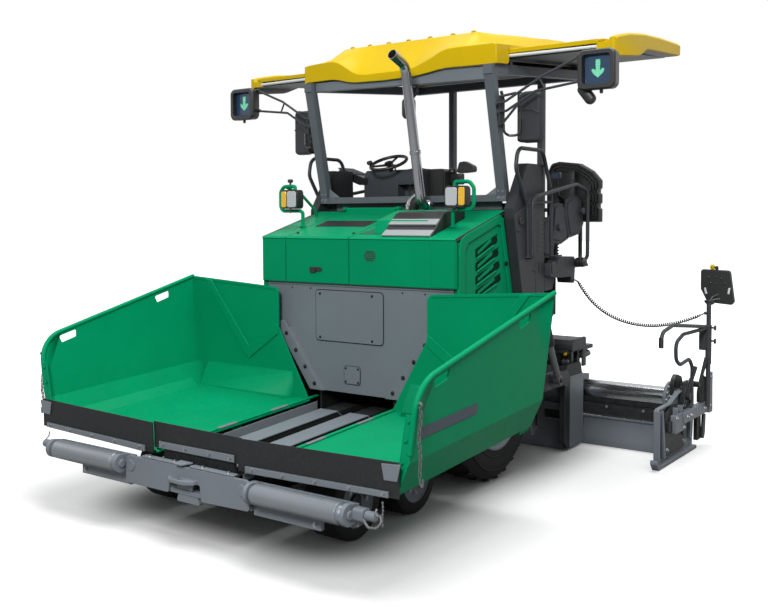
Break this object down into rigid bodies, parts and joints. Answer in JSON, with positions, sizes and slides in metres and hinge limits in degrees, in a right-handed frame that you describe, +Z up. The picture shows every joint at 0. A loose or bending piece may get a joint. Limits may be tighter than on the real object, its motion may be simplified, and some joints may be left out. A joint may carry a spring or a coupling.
{
  "type": "asphalt paver",
  "caption": "Wheeled asphalt paver with folding hopper wings, push rollers, canopy with sliding sides, rear augers and an extending screed on lift arms.",
  "frame": {"origin": "on the ground, midway along and across the machine with its side extensions drawn out", "axes": "+Z up; -Y is the direction of travel, towards the hopper; +X is the machine's left"},
  "size_m": [4.026, 4.525, 3.3321],
  "materials": {
    "green_paint": "satin",
    "yellow_paint": "satin",
    "grey_paint": "satin",
    "dark_paint": "satin",
    "bare_steel": "worn",
    "chrome": "polished",
    "black_rubber": "matte",
    "tyre_rubber": "matte",
    "black_plastic": "matte"
  },
  "bodies": {
    "tractor": {"main_frame": "dark_paint", "conveyor": "bare_steel", "front_wall": "grey_paint", "engine_block": "dark_paint", "hood_panels": "green_paint", "exhaust": "chrome", "work_lamps": "green_paint", "canopy_frame": "grey_paint", "roof_shell": "yellow_paint", "mirror_arms": "black_plastic", "arrow_displays": "black_plastic", "platform": "dark_paint", "side_body": "dark_paint", "console": "black_plastic", "steering_wheel": "black_plastic", "handrails": "dark_paint", "front_axle": "grey_paint", "rear_axle": "dark_paint", "auger_frame": "dark_paint", "apron_middle": "black_rubber", "curly_cord": "black_rubber"},
    "hood_lid": {"hood_lid": "green_paint"},
    "side_door_left": {"side_door_left": "green_paint"},
    "side_door_right": {"side_door_right": "green_paint"},
    "wing_left": {"wing_left": "green_paint", "apron_left": "black_rubber"},
    "wing_right": {"wing_right": "green_paint", "apron_right": "black_rubber"},
    "push_beam": {"push_beam": "grey_paint"},
    "push_roller_left": {"push_roller_left": "bare_steel"},
    "push_roller_right": {"push_roller_right": "bare_steel"},
    "front_knuckle_left": {"front_knuckle_left": "dark_paint"},
    "front_knuckle_right": {"front_knuckle_right": "dark_paint"},
    "mid_knuckle_left": {"mid_knuckle_left": "dark_paint"},
    "mid_knuckle_right": {"mid_knuckle_right": "dark_paint"},
    "front_wheel_left": {"front_wheel_left": "tyre_rubber"},
    "front_wheel_right": {"front_wheel_right": "tyre_rubber"},
    "mid_wheel_left": {"mid_wheel_left": "tyre_rubber"},
    "mid_wheel_right": {"mid_wheel_right": "tyre_rubber"},
    "rear_wheel_left": {"rear_wheel_left": "tyre_rubber"},
    "rear_wheel_right": {"rear_wheel_right": "tyre_rubber"},
    "auger_left": {"auger_left": "bare_steel"},
    "auger_right": {"auger_right": "bare_steel"},
    "screed": {"screed_arms": "grey_paint", "screed_base": "grey_paint", "screed_walkway": "dark_paint"},
    "screed_extension_left": {"screed_extension_left": "grey_paint", "end_gate_left": "grey_paint"},
    "screed_extension_right": {"screed_extension_right": "grey_paint", "end_gate_right": "grey_paint"},
    "roof_extension_left": {"roof_extension_left": "yellow_paint"},
    "roof_extension_right": {"roof_extension_right": "yellow_paint"},
    "seat_left": {"seat_left": "black_plastic"},
    "seat_right": {"seat_right": "black_plastic"},
    "lift_barrels": {"lift_barrels": "dark_paint"},
    "lift_rods": {"lift_rods": "chrome"}
  },
  "joints": [
    {"name": "wing_fold_left", "type": "hinge", "parent": "tractor", "child": "wing_left", "pos_m": [0.4, -2.0675, 0.4], "axis": [0, -1, 0], "range_deg": [0, 55]},
    {"name": "wing_fold_right", "type": "hinge", "parent": "tractor", "child": "wing_right", "pos_m": [-0.4, -2.0675, 0.4], "axis": [0, 1, 0], "range_deg": [0, 55]},
    {"name": "hood_lid_open", "type": "hinge", "parent": "tractor", "child": "hood_lid", "pos_m": [-0.332, 0.1125, 1.965], "axis": [-1, 0, 0], "range_deg": [0, 55]},
    {"name": "side_door_left_open", "type": "hinge", "parent": "tractor", "child": "side_door_left", "pos_m": [0.881, -0.5375, 1.5], "axis": [0, 0, -1], "range_deg": [0, 90]},
    {"name": "side_door_right_open", "type": "hinge", "parent": "tractor", "child": "side_door_right", "pos_m": [-0.881, -0.5375, 1.5], "axis": [0, 0, 1], "range_deg": [0, 90]},
    {"name": "push_beam_swing", "type": "hinge", "parent": "tractor", "child": "push_beam", "pos_m": [0, -2.1275, 0.32], "axis": [0, 0, 1], "range_deg": [-5, 5]},
    {"name": "push_roller_left_spin", "type": "hinge", "parent": "push_beam", "child": "push_roller_left", "pos_m": [0.9, -2.2025, 0.379], "axis": [1, 0, 0], "continuous": true},
    {"name": "push_roller_right_spin", "type": "hinge", "parent": "push_beam", "child": "push_roller_right", "pos_m": [-0.9, -2.2025, 0.379], "axis": [1, 0, 0], "continuous": true},
    {"name": "front_steer_left", "type": "hinge", "parent": "tractor", "child": "front_knuckle_left", "pos_m": [0.56, -1.6075, 0.23], "axis": [0, 0, 1], "range_deg": [-20, 20]},
    {"name": "front_wheel_left_spin", "type": "hinge", "parent": "front_knuckle_left", "child": "front_wheel_left", "pos_m": [0.725, -1.6075, 0.23], "axis": [1, 0, 0], "continuous": true},
    {"name": "front_steer_right", "type": "hinge", "parent": "tractor", "child": "front_knuckle_right", "pos_m": [-0.56, -1.6075, 0.23], "axis": [0, 0, 1], "range_deg": [-20, 20]},
    {"name": "front_wheel_right_spin", "type": "hinge", "parent": "front_knuckle_right", "child": "front_wheel_right", "pos_m": [-0.725, -1.6075, 0.23], "axis": [1, 0, 0], "continuous": true},
    {"name": "mid_steer_left", "type": "hinge", "parent": "tractor", "child": "mid_knuckle_left", "pos_m": [0.56, -0.9975, 0.23], "axis": [0, 0, 1], "range_deg": [-20, 20]},
    {"name": "mid_wheel_left_spin", "type": "hinge", "parent": "mid_knuckle_left", "child": "mid_wheel_left", "pos_m": [0.725, -0.9975, 0.23], "axis": [1, 0, 0], "continuous": true},
    {"name": "mid_steer_right", "type": "hinge", "parent": "tractor", "child": "mid_knuckle_right", "pos_m": [-0.56, -0.9975, 0.23], "axis": [0, 0, 1], "range_deg": [-20, 20]},
    {"name": "mid_wheel_right_spin", "type": "hinge", "parent": "mid_knuckle_right", "child": "mid_wheel_right", "pos_m": [-0.725, -0.9975, 0.23], "axis": [1, 0, 0], "continuous": true},
    {"name": "rear_wheel_left_spin", "type": "hinge", "parent": "tractor", "child": "rear_wheel_left", "pos_m": [0.74, -0.0225, 0.54], "axis": [1, 0, 0], "continuous": true},
    {"name": "auger_left_spin", "type": "hinge", "parent": "tractor", "child": "auger_left", "pos_m": [0.45, 0.7225, 0.33], "axis": [1, 0, 0], "continuous": true},
    {"name": "rear_wheel_right_spin", "type": "hinge", "parent": "tractor", "child": "rear_wheel_right", "pos_m": [-0.74, -0.0225, 0.54], "axis": [1, 0, 0], "continuous": true},
    {"name": "auger_right_spin", "type": "hinge", "parent": "tractor", "child": "auger_right", "pos_m": [-0.45, 0.7225, 0.33], "axis": [1, 0, 0], "continuous": true},
    {"name": "screed_lift", "type": "hinge", "parent": "tractor", "child": "screed", "pos_m": [0, -0.6475, 0.42], "axis": [1, 0, 0], "range_deg": [0, 12]},
    {"name": "screed_extension_left_slide", "type": "slide", "parent": "screed", "child": "screed_extension_left", "axis": [1, 0, 0], "range_m": [-0.72, 0]},
    {"name": "roof_extension_left_slide", "type": "slide", "parent": "tractor", "child": "roof_extension_left", "axis": [1, 0, 0], "range_m": [-0.74, 0]},
    {"name": "seat_left_slide", "type": "slide", "parent": "tractor", "child": "seat_left", "axis": [-1, 0, 0], "range_m": [0, 0.27]},
    {"name": "screed_extension_right_slide", "type": "slide", "parent": "screed", "child": "screed_extension_right", "axis": [-1, 0, 0], "range_m": [-0.72, 0]},
    {"name": "roof_extension_right_slide", "type": "slide", "parent": "tractor", "child": "roof_extension_right", "axis": [-1, 0, 0], "range_m": [-0.74, 0]},
    {"name": "seat_right_slide", "type": "slide", "parent": "tractor", "child": "seat_right", "axis": [1, 0, 0], "range_m": [0, 0.27]},
    {"name": "lift_barrel_swing", "type": "hinge", "parent": "tractor", "child": "lift_barrels", "pos_m": [1.022, 0.3825, 1.26], "axis": [1, 0, 0], "range_deg": [0, 7.7]},
    {"name": "lift_rod_slide", "type": "slide", "parent": "lift_barrels", "child": "lift_rods", "axis": [0, 0.4472, -0.8944], "range_m": [-0.2758, 0]}
  ],
  "couplings": [
    {"joint": "front_steer_right", "follows": "front_steer_left", "ratio": 1},
    {"joint": "mid_steer_left", "follows": "front_steer_left", "ratio": 1},
    {"joint": "mid_steer_right", "follows": "front_steer_left", "ratio": 1},
    {"joint": "lift_barrel_swing", "follows": "screed_lift", "ratio": 0.63338},
    {"joint": "lift_rod_slide", "follows": "screed_lift", "m_per_rad": -1.3119}
  ]
}
